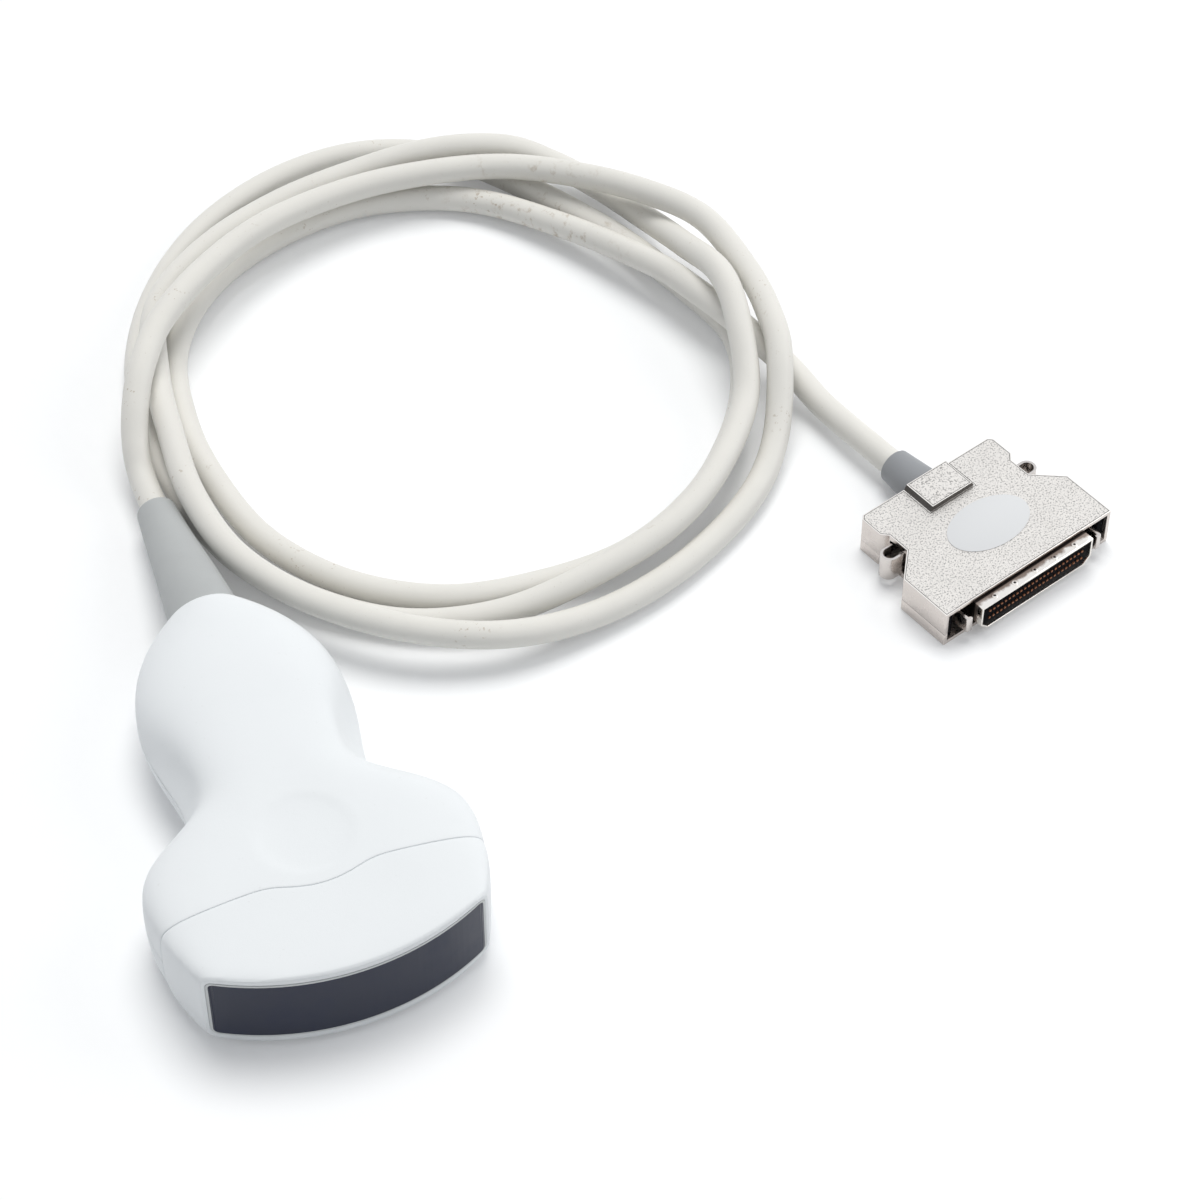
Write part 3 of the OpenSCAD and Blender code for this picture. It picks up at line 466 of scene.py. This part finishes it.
def shroud_plate(colours):
    """Bright sheet that turns brown in patches beside the hood, with painted shade under the
    hood's edge.
    """
    finish = Finish("shroud_plate", metallic=1.0, roughness=0.18)
    base = tuple(colours.nickel)
    to_plug = PLUG_PLACE.inverted()[1]
    back = (finish.axis("X") * to_plug[0] + finish.axis("Y") * to_plug[1] + to_plug[3]) / MM
    patch = finish.ramp(back + 3.2 * finish.noise(2.2 * MM, detail=3, roughness=0.6),
                        -0.5, 0.6)
    browned = finish.mix(patch * 0.85, base, (0.20, 0.14, 0.11))
    # Painted shade: the plate turns very dark where it runs in under the hood's edge.
    painted_shade_under_hood = finish.ramp(back, -0.8, -0.45)
    finish.surface(base_color=finish.mix(painted_shade_under_hood, browned, (0.025, 0.02, 0.018)),
                   roughness=0.16 + 0.3 * patch)
    finish.bump(finish.noise(0.4 * MM), 0.006 * MM)
    return finish.material


def moulded(name, colour, roughness=0.45):
    """Plain plastic or ceramic with soft clouds."""
    finish = Finish(name, roughness=roughness)
    base = tuple(colour)
    finish.surface(base_color=finish.mix(finish.clouds(4 * MM) * 0.5, base, shade(base, 0.88)),
                   roughness=roughness + 0.1 * finish.noise(2 * MM))
    finish.bump(finish.noise(0.4 * MM), 0.012 * MM)
    return finish.material


def plain(name, colour, roughness, specular=0.5):
    """One colour with a barely rough skin."""
    finish = Finish(name, base_color=tuple(colour), roughness=roughness,
                    specular_ior_level=specular)
    finish.bump(finish.noise(0.3 * MM), 0.004 * MM)
    return finish.material


# ---- Modelling helpers ----


def only(piece):
    """Leaves edit mode and makes the piece the only one selected."""
    if bpy.context.object and bpy.context.object.mode != "OBJECT":
        bpy.ops.object.mode_set(mode="OBJECT")
    bpy.ops.object.select_all(action="DESELECT")
    piece.select_set(True)
    bpy.context.view_layer.objects.active = piece


def edit_all(piece):
    """Opens the piece in edit mode with all of it selected."""
    only(piece)
    bpy.ops.object.mode_set(mode="EDIT")
    bpy.ops.mesh.select_all(action="SELECT")


def edit_some(piece, kind, pick):
    """Opens the piece in edit mode with only those elements selected that pick returns.

    The kind is VERT, EDGE or FACE, and pick gets the piece's mesh.
    """
    only(piece)
    bpy.ops.object.mode_set(mode="EDIT")
    bpy.ops.mesh.select_mode(type=kind)
    bpy.ops.mesh.select_all(action="DESELECT")
    bpy.ops.object.mode_set(mode="OBJECT")
    picked = pick(piece.data)
    for element in picked:
        element.select = True
    bpy.ops.object.mode_set(mode="EDIT")
    return picked


def assign_faces(piece, slot, test):
    """Gives a material slot to the faces whose centre and normal pass the test."""
    edit_some(piece, "FACE", lambda mesh: [
        face for face in mesh.polygons if test(face.center, face.normal)])
    assign_selected(piece, slot)
    bpy.ops.object.mode_set(mode="OBJECT")


def assign_selected(piece, slot):
    piece.active_material_index = slot
    bpy.ops.object.material_slot_assign()


def fair_copy(node, name):
    """A copy of a CAD node's mesh, merged into one closed surface."""
    piece = bpy.data.objects.new(name, NODES[node].data.copy())
    bpy.context.scene.collection.objects.link(piece)
    piece.data.materials.clear()
    edit_all(piece)
    bpy.ops.mesh.remove_doubles(threshold=WELD)
    bpy.ops.object.mode_set(mode="OBJECT")
    return piece


def flat_copy(node, name):
    """A fair copy whose triangles are joined where they lie in one plane."""
    piece = fair_copy(node, name)
    edit_all(piece)
    bpy.ops.mesh.dissolve_limited(angle_limit=FLAT)
    bpy.ops.object.mode_set(mode="OBJECT")
    return piece


def quad_copy(node, name):
    """A fair copy in edit mode, with its triangles paired into quads."""
    piece = fair_copy(node, name)
    edit_all(piece)
    bpy.ops.mesh.tris_convert_to_quads(face_threshold=QUAD_FOLD, shape_threshold=QUAD_SKEW)
    return piece


def modify(piece, kind, **settings):
    """Adds a modifier with these settings and applies it."""
    only(piece)
    modifier = piece.modifiers.new(kind.lower(), kind)
    for key, value in settings.items():
        setattr(modifier, key, value)
    bpy.ops.object.modifier_apply(modifier=modifier.name)


def subdivide(piece):
    modify(piece, "SUBSURF", levels=SUBDIVISIONS, render_levels=SUBDIVISIONS)
    bpy.ops.object.shade_smooth()


def smooth_by_angle(piece, degrees=30):
    only(piece)
    bpy.ops.object.shade_smooth_by_angle(angle=math.radians(degrees))


def soften(piece, width, segments, degrees=35):
    """Rounds the edges that are sharper than the angle, and smooths the shading."""
    modify(piece, "BEVEL", width=width, segments=segments, limit_method="ANGLE",
           angle_limit=math.radians(degrees), use_clamp_overlap=True)
    smooth_by_angle(piece)


def hand_over(piece, slot, material, *nodes, body=BODY):
    """Gives the piece its material and body, and hides the CAD nodes that it stands for. The slot
    is not used.
    """
    if not piece.data.materials:
        piece.data.materials.append(material)
    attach(piece, body)
    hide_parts(*nodes)
    return piece


def repaint(nodes, material):
    """Gives CAD nodes that stay a finish."""
    for name in nodes:
        mesh = NODES[name].data
        mesh.materials.clear()
        mesh.materials.append(material)


def spline_points(points, steps, lowest):
    """Catmull-Rom spline through the points, as in the part's source."""
    last = len(points) - 1
    line = []
    for i in range(last):
        a, b = points[max(0, i - 1)], points[i]
        c, d = points[i + 1], points[min(last, i + 2)]
        for k in range(steps):
            t = k / steps
            q = (2 * b + (c - a) * t + (2 * a - 5 * b + 4 * c - d) * t * t
                 + (3 * b - a - 3 * c + d) * t ** 3) / 2
            line.append(Vector((q.x, q.y, max(q.z, lowest))))
    line.append(points[last])
    return line


# ---- The probe ----


def add_end_edges(piece):
    """Adds the edges of the housing's back end to the selection."""
    bpy.ops.object.mode_set(mode="OBJECT")
    mesh = piece.data
    for edge in mesh.edges:
        if all(mesh.vertices[i].co.y > HOUSING_HIGH.y - END_ROOM for i in edge.vertices):
            edge.select = True
    bpy.ops.object.mode_set(mode="EDIT")


def drop_spikes(piece, node):
    """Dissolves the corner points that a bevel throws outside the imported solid."""
    low, high = corners(node)
    stray = edit_some(piece, "VERT", lambda mesh: [
        v for v in mesh.vertices if not low.z - SPIKE_ROOM < v.co.z < high.z + SPIKE_ROOM])
    if stray:
        bpy.ops.mesh.dissolve_verts()


def front_edges(mesh):
    """The edges that run round the nose's curved front face."""
    depth = [v.co.y - LENS_FRONT - LENS_R + math.sqrt(max(0, LENS_R ** 2 - v.co.x ** 2))
             for v in mesh.vertices]
    chosen = []
    for edge in mesh.edges:
        first, last = (depth[i] for i in edge.vertices)
        if max(first, last) < FRONT_EDGE and abs(first - last) < RING_STEP:
            chosen.append(edge)
    return chosen


def smooth_shell(node, name, material, seam):
    """A subdivided copy of a lofted shell, with its rims rounded to show the seams."""
    piece = quad_copy(node, name)
    bpy.ops.mesh.select_mode(type="EDGE")
    bpy.ops.mesh.select_all(action="DESELECT")
    bpy.ops.mesh.edges_select_sharp(sharpness=SEAM_SHARPNESS)
    add_end_edges(piece)
    bpy.ops.mesh.bevel(offset=seam, offset_type="OFFSET", segments=2, affect="EDGES")
    drop_spikes(piece, node)
    edit_some(piece, "EDGE", front_edges)
    bpy.ops.transform.edge_crease(value=FRONT_CREASE)
    subdivide(piece)
    return hand_over(piece, "housing", material, node)


def press_thumb_dish(piece):
    """Presses a shallow dish into the top of the handle by proportional editing."""
    def nearest(mesh):
        top = [v for v in mesh.vertices if v.co.z > HOUSING_HIGH.z - TOP_SKIN]
        return [min(top, key=lambda v: (v.co.xy - THUMB_AT).length)]

    edit_some(piece, "VERT", nearest)
    bpy.ops.transform.translate(
        value=(0, 0, -THUMB_DEPTH), use_proportional_edit=True,
        use_proportional_connected=True, proportional_edit_falloff="SPHERE",
        proportional_size=THUMB_REACH)
    bpy.ops.object.mode_set(mode="OBJECT")


class MakeHousing(bpy.types.Operator):
    """Models the nose and the two handle shells with their seams"""

    bl_idname = "probe.make_housing"
    bl_label = "Housing"

    def execute(self, context):
        scene = context.scene
        white = moulded_white(scene.probe_colours)
        for node in ("nose_shell", "upper_handle_shell", "lower_handle_shell"):
            shell = smooth_shell(node, "smooth_" + node, white, scene.probe_sizes.seam)
            if node == "upper_handle_shell":
                press_thumb_dish(shell)
        return {"FINISHED"}


class MakeLens(bpy.types.Operator):
    """Models the curved lens and the pale seal around it"""

    bl_idname = "probe.make_lens"
    bl_label = "Lens and seal"

    def execute(self, context):
        colours = context.scene.probe_colours
        for node, name, slot, material in (
                ("acoustic_lens", "curved_lens", "lens", silicone_lens(colours)),
                ("lens_seal", "seal_bead", "seal", rubber("seal_silicone", colours.seal))):
            piece = fair_copy(node, name)
            smooth_by_angle(piece)
            hand_over(piece, slot, material, node)
        return {"FINISHED"}


class MakeProbeBoot(bpy.types.Operator):
    """Models the drooping strain relief where the cable leaves the probe"""

    bl_idname = "probe.make_probe_boot"
    bl_label = "Probe boot"

    def execute(self, context):
        boot = quad_copy("strain_relief_boot", "drooping_boot")
        subdivide(boot)
        grey = rubber("boot_rubber", context.scene.probe_colours.boot, 0.6 * MM, 0.015 * MM)
        hand_over(boot, "boot", grey, "strain_relief_boot")
        return {"FINISHED"}


# ---- The cable ----


class MakeCable(bpy.types.Operator):
    """Models the cable on its route, in three loops and a lead-out to the plug"""

    bl_idname = "probe.make_cable"
    bl_label = "Cable"

    def execute(self, context):
        scene = context.scene
        diameter = scene.probe_sizes.cable_diameter
        exit_point = Vector((0, BOOT_END, CABLE_EXIT_Z))
        route = [exit_point] + [Vector(p) * MM for p in CABLE_ROUTE] + [
            PLUG_PLACE @ (CABLE_ENTRY + LEAD_IN), PLUG_PLACE @ CABLE_ENTRY]
        line = spline_points(route, scene.probe_sizes.cable_steps, diameter / 2)

        curve = bpy.data.curves.new("cable_run", "CURVE")
        curve.dimensions = "3D"
        curve.bevel_depth = diameter / 2
        curve.bevel_resolution = CABLE_SIDES
        curve.use_fill_caps = True
        spline = curve.splines.new("POLY")
        spline.points.add(len(line) - 1)
        for point, place in zip(spline.points, line):
            point.co = (*place, 1)
        cable = bpy.data.objects.new("cable_run", curve)
        scene.collection.objects.link(cable)
        only(cable)
        bpy.ops.object.convert(target="MESH")
        cable = context.object
        smooth_by_angle(cable, 50)
        hand_over(cable, "cable", cable_jacket(scene.probe_colours), "cable")
        length = sum((b - a).length for a, b in zip(line, line[1:]))
        return {"FINISHED"}


# ---- The plug ----


def note_plug(piece):
    """Notes that the piece is in the plug."""
    piece["plug_piece"] = True


class MakeHood(bpy.types.Operator):
    """Models the two cast halves of the hood, with pebbled faces, painted highlights on the rims
    and painted shade
    """

    bl_idname = "probe.make_hood"
    bl_label = "Plug hood"

    def execute(self, context):
        colours = context.scene.probe_colours
        pebbled = pebbled_nickel(colours, context.scene.probe_sizes)
        # Painted shade: the sides' smooth plating is darker than the top's nickel.
        side = bright_metal("side_nickel", colours.hood_side, 0.22, smeared=0.15)
        # Painted highlight: the rims are smooth plating, made brighter than the nickel itself.
        rim = bright_metal("rim_nickel", shade(colours.nickel, 1.08), 0.15, smeared=0.1)
        # Painted shade for the lines inside the rims, the pad's flanks and the seam.
        dark = bright_metal("rim_shadow", shade(colours.hood_side, 0.14), 0.4)
        for node, name, up in (("hood_upper", "hood_top", 1), ("hood_lower", "hood_base", -1)):
            piece = flat_copy(node, name)
            for material in (side, rim, dark, pebbled):
                piece.data.materials.append(material)
            low, high = corners(node)
            start = high.z - TOP_LEVELS if up > 0 else -low.z - BASE_LEVELS
            seam = low.z if up > 0 else high.z

            # Outer faces: a rim with a painted highlight, a line of painted shade inside it, then
            # the pebbled field
            edit_some(piece, "FACE", lambda mesh: [
                f for f in mesh.polygons if f.normal.z * up > LEVEL and f.center.z * up > start])
            assign_selected(piece, 1)
            for slot, width in ((2, RIM_WIDTH), (3, LINE_WIDTH)):
                bpy.ops.mesh.inset(thickness=width, depth=0)
                assign_selected(piece, slot)
            # The raised pad's flanks and the seam between the halves get painted shade
            assign_faces(piece, 2, lambda c, n: (
                abs(n.z) < STEEP and c.z > PAD_FOOT
                or n.z * up < -LEVEL and abs(c.z - seam) < SEAM_DEPTH))
            soften(piece, 0.2 * MM, segments=3)
            note_plug(hand_over(piece, "hood", side, node))
        return {"FINISHED"}


class MakePlugFront(bpy.types.Operator):
    """Models the shroud with painted shade in its dimples, the insulator and the dark corner
    posts
    """

    bl_idname = "probe.make_plug_front"
    bl_label = "Plug front"

    def execute(self, context):
        shroud = flat_copy("plug_shroud", "shroud_rim")
        plate = shroud_plate(context.scene.probe_colours)
        # The dark moulding is the insulator's and the posts' own colour, and painted shade in the
        # shroud's dimples.
        black_and_dimple_shade = plain("black_moulding", (0.003, 0.003, 0.004), 0.6, specular=0.03)
        for material in (plate, black_and_dimple_shade):
            shroud.data.materials.append(material)
        top = corners("plug_shroud")[1].z
        least, most = DIMPLE_FLOOR
        # Painted shade: the dimples' floors get the dark moulding.
        assign_faces(shroud, 1, lambda c, n: n.z > LEVEL and least < top - c.z < most)
        soften(shroud, 0.16 * MM, segments=3)
        note_plug(hand_over(shroud, "shroud", plate, "plug_shroud"))
        for node, slot in (("plug_insulator", "insulator"), ("corner_posts", "post")):
            piece = flat_copy(node, "black_" + node)
            soften(piece, 0.12 * MM, segments=2)
            note_plug(hand_over(piece, slot, black_and_dimple_shade, node))
        return {"FINISHED"}


class MakeLatches(bpy.types.Operator):
    """Models the two bent latches with their thumb loops and hooks"""

    bl_idname = "probe.make_latches"
    bl_label = "Latches"

    def execute(self, context):
        steel = bright_metal("latch_steel", (0.66, 0.62, 0.59), 0.2, smeared=0.3)
        for side in ("left", "right"):
            piece = flat_copy("latch_" + side, "bent_latch_" + side)
            soften(piece, 0.12 * MM, segments=2)
            note_plug(hand_over(piece, "latch", steel, "latch_" + side, body=side + "_latch"))
        return {"FINISHED"}


class MakePlugBoot(bpy.types.Operator):
    """Models the plug's short tapered boot"""

    bl_idname = "probe.make_plug_boot"
    bl_label = "Plug boot"

    def execute(self, context):
        boot = fair_copy("connector_boot", "plug_sleeve")
        soften(boot, 0.3 * MM, segments=2, degrees=40)
        grey = rubber("sleeve_rubber", context.scene.probe_colours.plug_boot)
        note_plug(hand_over(boot, "plug_boot", grey, "connector_boot"))
        return {"FINISHED"}


class MakeLabel(bpy.types.Operator):
    """Models the bare oval label on the hood"""

    bl_idname = "probe.make_label"
    bl_label = "Bare label"

    def execute(self, context):
        label = flat_copy("bare_label", "oval_label")
        soften(label, 0.05 * MM, segments=2)
        film = plain("label_film", context.scene.probe_colours.label, 0.42)
        note_plug(hand_over(label, "label", film, "bare_label"))
        return {"FINISHED"}


class FinishInside(bpy.types.Operator):
    """Gives the CAD nodes that stay, mostly inside, their finishes"""

    bl_idname = "probe.finish_inside"
    bl_label = "Inner pieces"

    def execute(self, context):
        for nodes, material in (
                (("matching_layer",), moulded("filled_epoxy", (0.27, 0.22, 0.15))),
                (("piezo_elements",), moulded("diced_ceramic", (0.52, 0.43, 0.18), 0.3)),
                (("backing_block",), moulded("backing_rubber", (0.05, 0.05, 0.055), 0.6)),
                (("upper_flex", "lower_flex"),
                 moulded("polyimide_film", (0.56, 0.22, 0.03), 0.3)),
                (("interconnect_board", "termination_board"),
                 moulded("solder_mask", (0.01, 0.12, 0.04), 0.3)),
                (("board_sockets",), moulded("socket_nylon", (0.78, 0.74, 0.60))),
                (("array_carrier", "board_cradle"),
                 moulded("carrier_plastic", (0.075, 0.08, 0.088))),
                (("coax_bundle", "wire_fan"), moulded("core_bundle", (0.45, 0.45, 0.47))),
                (("upper_contacts", "lower_contacts"),
                 bright_metal("contact_copper", (0.34, 0.14, 0.07), 0.4)),
                (("shield_ferrule", "cable_clamp", "clamp_screws", "hood_screws",
                  "plug_ferrule", "cable_saddle", "saddle_screws", "latch_pins",
                  "latch_springs"), bright_metal("tinned_steel", (0.60, 0.60, 0.61), 0.3))):
            repaint(nodes, material)
        for name in frame["record"]["physics"]["cord_nodes"]:
            if name != "cable" and not NODES[name].hide_render:
                note_plug(NODES[name])
        return {"FINISHED"}


# ---- The stage ----


def table_finish():
    """White table that keeps its shadows; camera and mirror rays see it a little lit."""
    finish = Finish("pale_table", base_color=TABLE_COLOUR, roughness=0.9,
                    specular_ior_level=0.1)
    glow = finish.node("ShaderNodeEmission", None, {
        "Color": (1, 1, 1), "Strength": finish.seen_directly() * TABLE_GLOW})["Emission"]
    both = finish.node("ShaderNodeAddShader", None, {0: finish.shader["BSDF"], 1: glow})
    finish.plug(finish.output.inputs["Surface"], both["Shader"])
    return finish.material


def studio_world():
    """Cool soft light from all sides, which the camera and mirrors see as white."""
    world = bpy.data.worlds.new("studio")
    world.use_nodes = True
    nodes = Nodes(world.node_tree)
    strength = nodes.node("ShaderNodeMapRange", None, {
        "Value": nodes.seen_directly(), "To Min": WORLD_LIGHT, "To Max": WORLD_SEEN})
    light = nodes.node("ShaderNodeBackground", None, {
        "Color": WORLD_COLOUR, "Strength": strength["Result"]})
    nodes.node("ShaderNodeOutputWorld", None, {"Surface": light["Background"]})
    return world


def turn_to(thing, target):
    """Turns a lamp or a camera towards the target."""
    thing.rotation_euler = (target - thing.location).to_track_quat("-Z", "Y").to_euler()


class MakeStage(bpy.types.Operator):
    """Makes the pale table, the soft lights and the camera"""

    bl_idname = "probe.make_stage"
    bl_label = "Stage"

    def execute(self, context):
        scene = context.scene
        bpy.ops.object.select_all(action="DESELECT")
        bpy.ops.mesh.primitive_plane_add(size=TABLE_SIZE, location=TABLE_AT)
        table = context.object
        table.name = "pale_table"
        table.data.materials.append(table_finish())

        sun = bpy.data.lights.new("overhead_light", "SUN")
        sun.energy = 1.9
        sun.angle = math.radians(36)
        sun.color = (1.0, 0.99, 0.97)
        side = bpy.data.lights.new("side_light", "AREA")
        side.shape = "DISK"
        side.size = 0.7
        side.energy = 2.0
        for lamp, place in ((sun, SUN_AT), (side, SIDE_LIGHT_AT)):
            light = bpy.data.objects.new(lamp.name, lamp)
            light.location = place
            turn_to(light, LIGHTS_AIM)
            light.visible_glossy = lamp.type != "SUN"
            scene.collection.objects.link(light)
        scene.world = studio_world()

        lens = bpy.data.cameras.new("photo_camera")
        lens.sensor_width = CAMERA_SENSOR
        lens.lens = CAMERA_SENSOR / 2 / math.tan(scene.probe_sizes.camera_field / 2)
        lens.clip_start = 10 * MM
        camera = bpy.data.objects.new("photo_camera", lens)
        camera.location = CAMERA_AT
        turn_to(camera, CAMERA_AIM)
        scene.collection.objects.link(camera)
        scene.camera = camera
        scene.view_settings.view_transform = "Standard"
        return {"FINISHED"}


# ---- The panel and the run ----

STEPS = (MakeStage, MakeHousing, MakeLens, MakeProbeBoot, MakeHood, MakePlugFront, MakeLatches,
         MakePlugBoot, MakeLabel, FinishInside, MakeCable)


class PROBE_PT_dresser(bpy.types.Panel):
    """Lists the sizes, the colours and the steps"""

    bl_label = "Convex Probe"
    bl_idname = "PROBE_PT_dresser"
    bl_space_type = "VIEW_3D"
    bl_region_type = "UI"
    bl_category = "Probe"

    def draw(self, context):
        column = self.layout.column(align=True)
        for group in (context.scene.probe_sizes, context.scene.probe_colours):
            for name in group.__annotations__:
                column.prop(group, name)
        for step in STEPS:
            column.operator(step.bl_idname)


CLASSES = (ProbeSizes, ProbeColours, *STEPS, PROBE_PT_dresser)


def register():
    for cls in CLASSES:
        bpy.utils.register_class(cls)
    bpy.types.Scene.probe_sizes = PointerProperty(type=ProbeSizes)
    bpy.types.Scene.probe_colours = PointerProperty(type=ProbeColours)


def unregister():
    del bpy.types.Scene.probe_colours
    del bpy.types.Scene.probe_sizes
    for cls in reversed(CLASSES):
        bpy.utils.unregister_class(cls)


def main():
    register()
    for step in STEPS:
        group, name = step.bl_idname.split(".")
        getattr(getattr(bpy.ops, group), name)()


if __name__ == "__main__":
    main()
